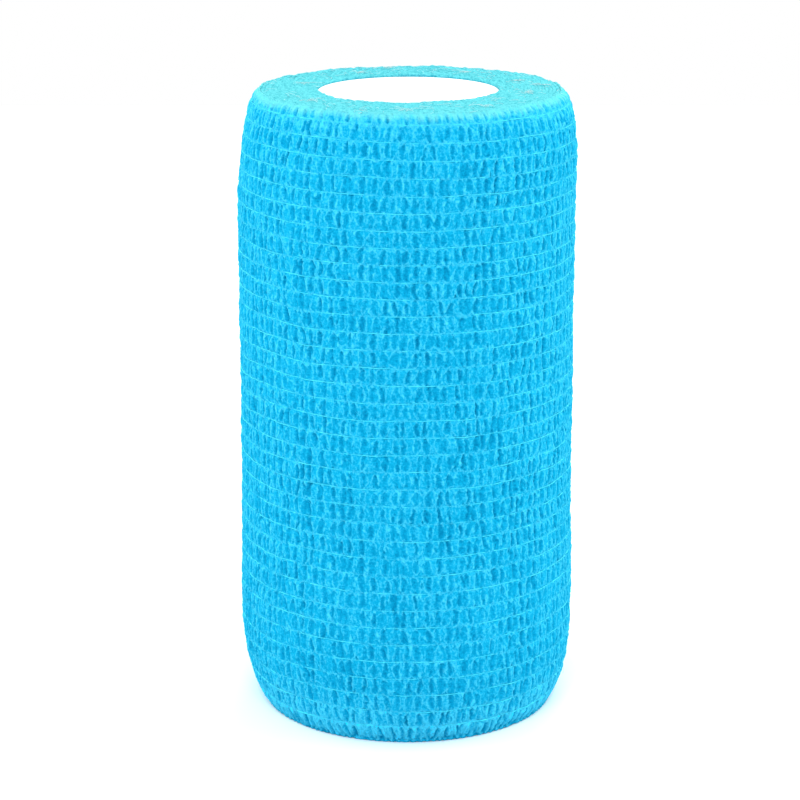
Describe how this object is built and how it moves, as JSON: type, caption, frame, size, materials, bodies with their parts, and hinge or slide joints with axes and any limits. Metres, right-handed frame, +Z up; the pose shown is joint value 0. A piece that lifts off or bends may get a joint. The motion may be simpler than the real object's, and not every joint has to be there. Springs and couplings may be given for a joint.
{
  "type": "cohesive bandage roll",
  "caption": "Blue self-gripping elastic bandage with a crinkled surface, wound on a white paper tube and standing on its end.",
  "frame": {"origin": "centre of the roll's base, on the surface it stands on", "axes": "+Z up along the roll's axis; -Y towards the viewer of the picture; +Y is the back, where the cut tail lies"},
  "size_m": [0.0534, 0.0534, 0.1],
  "materials": {
    "crepe_cloth": "matte crinkled nonwoven with fine elastic threads",
    "core_paper": "plain matte white paper tube"
  },
  "bodies": {
    "root": {"bandage_roll": "crepe_cloth", "core_tube": "core_paper"}
  },
  "joints": []
}
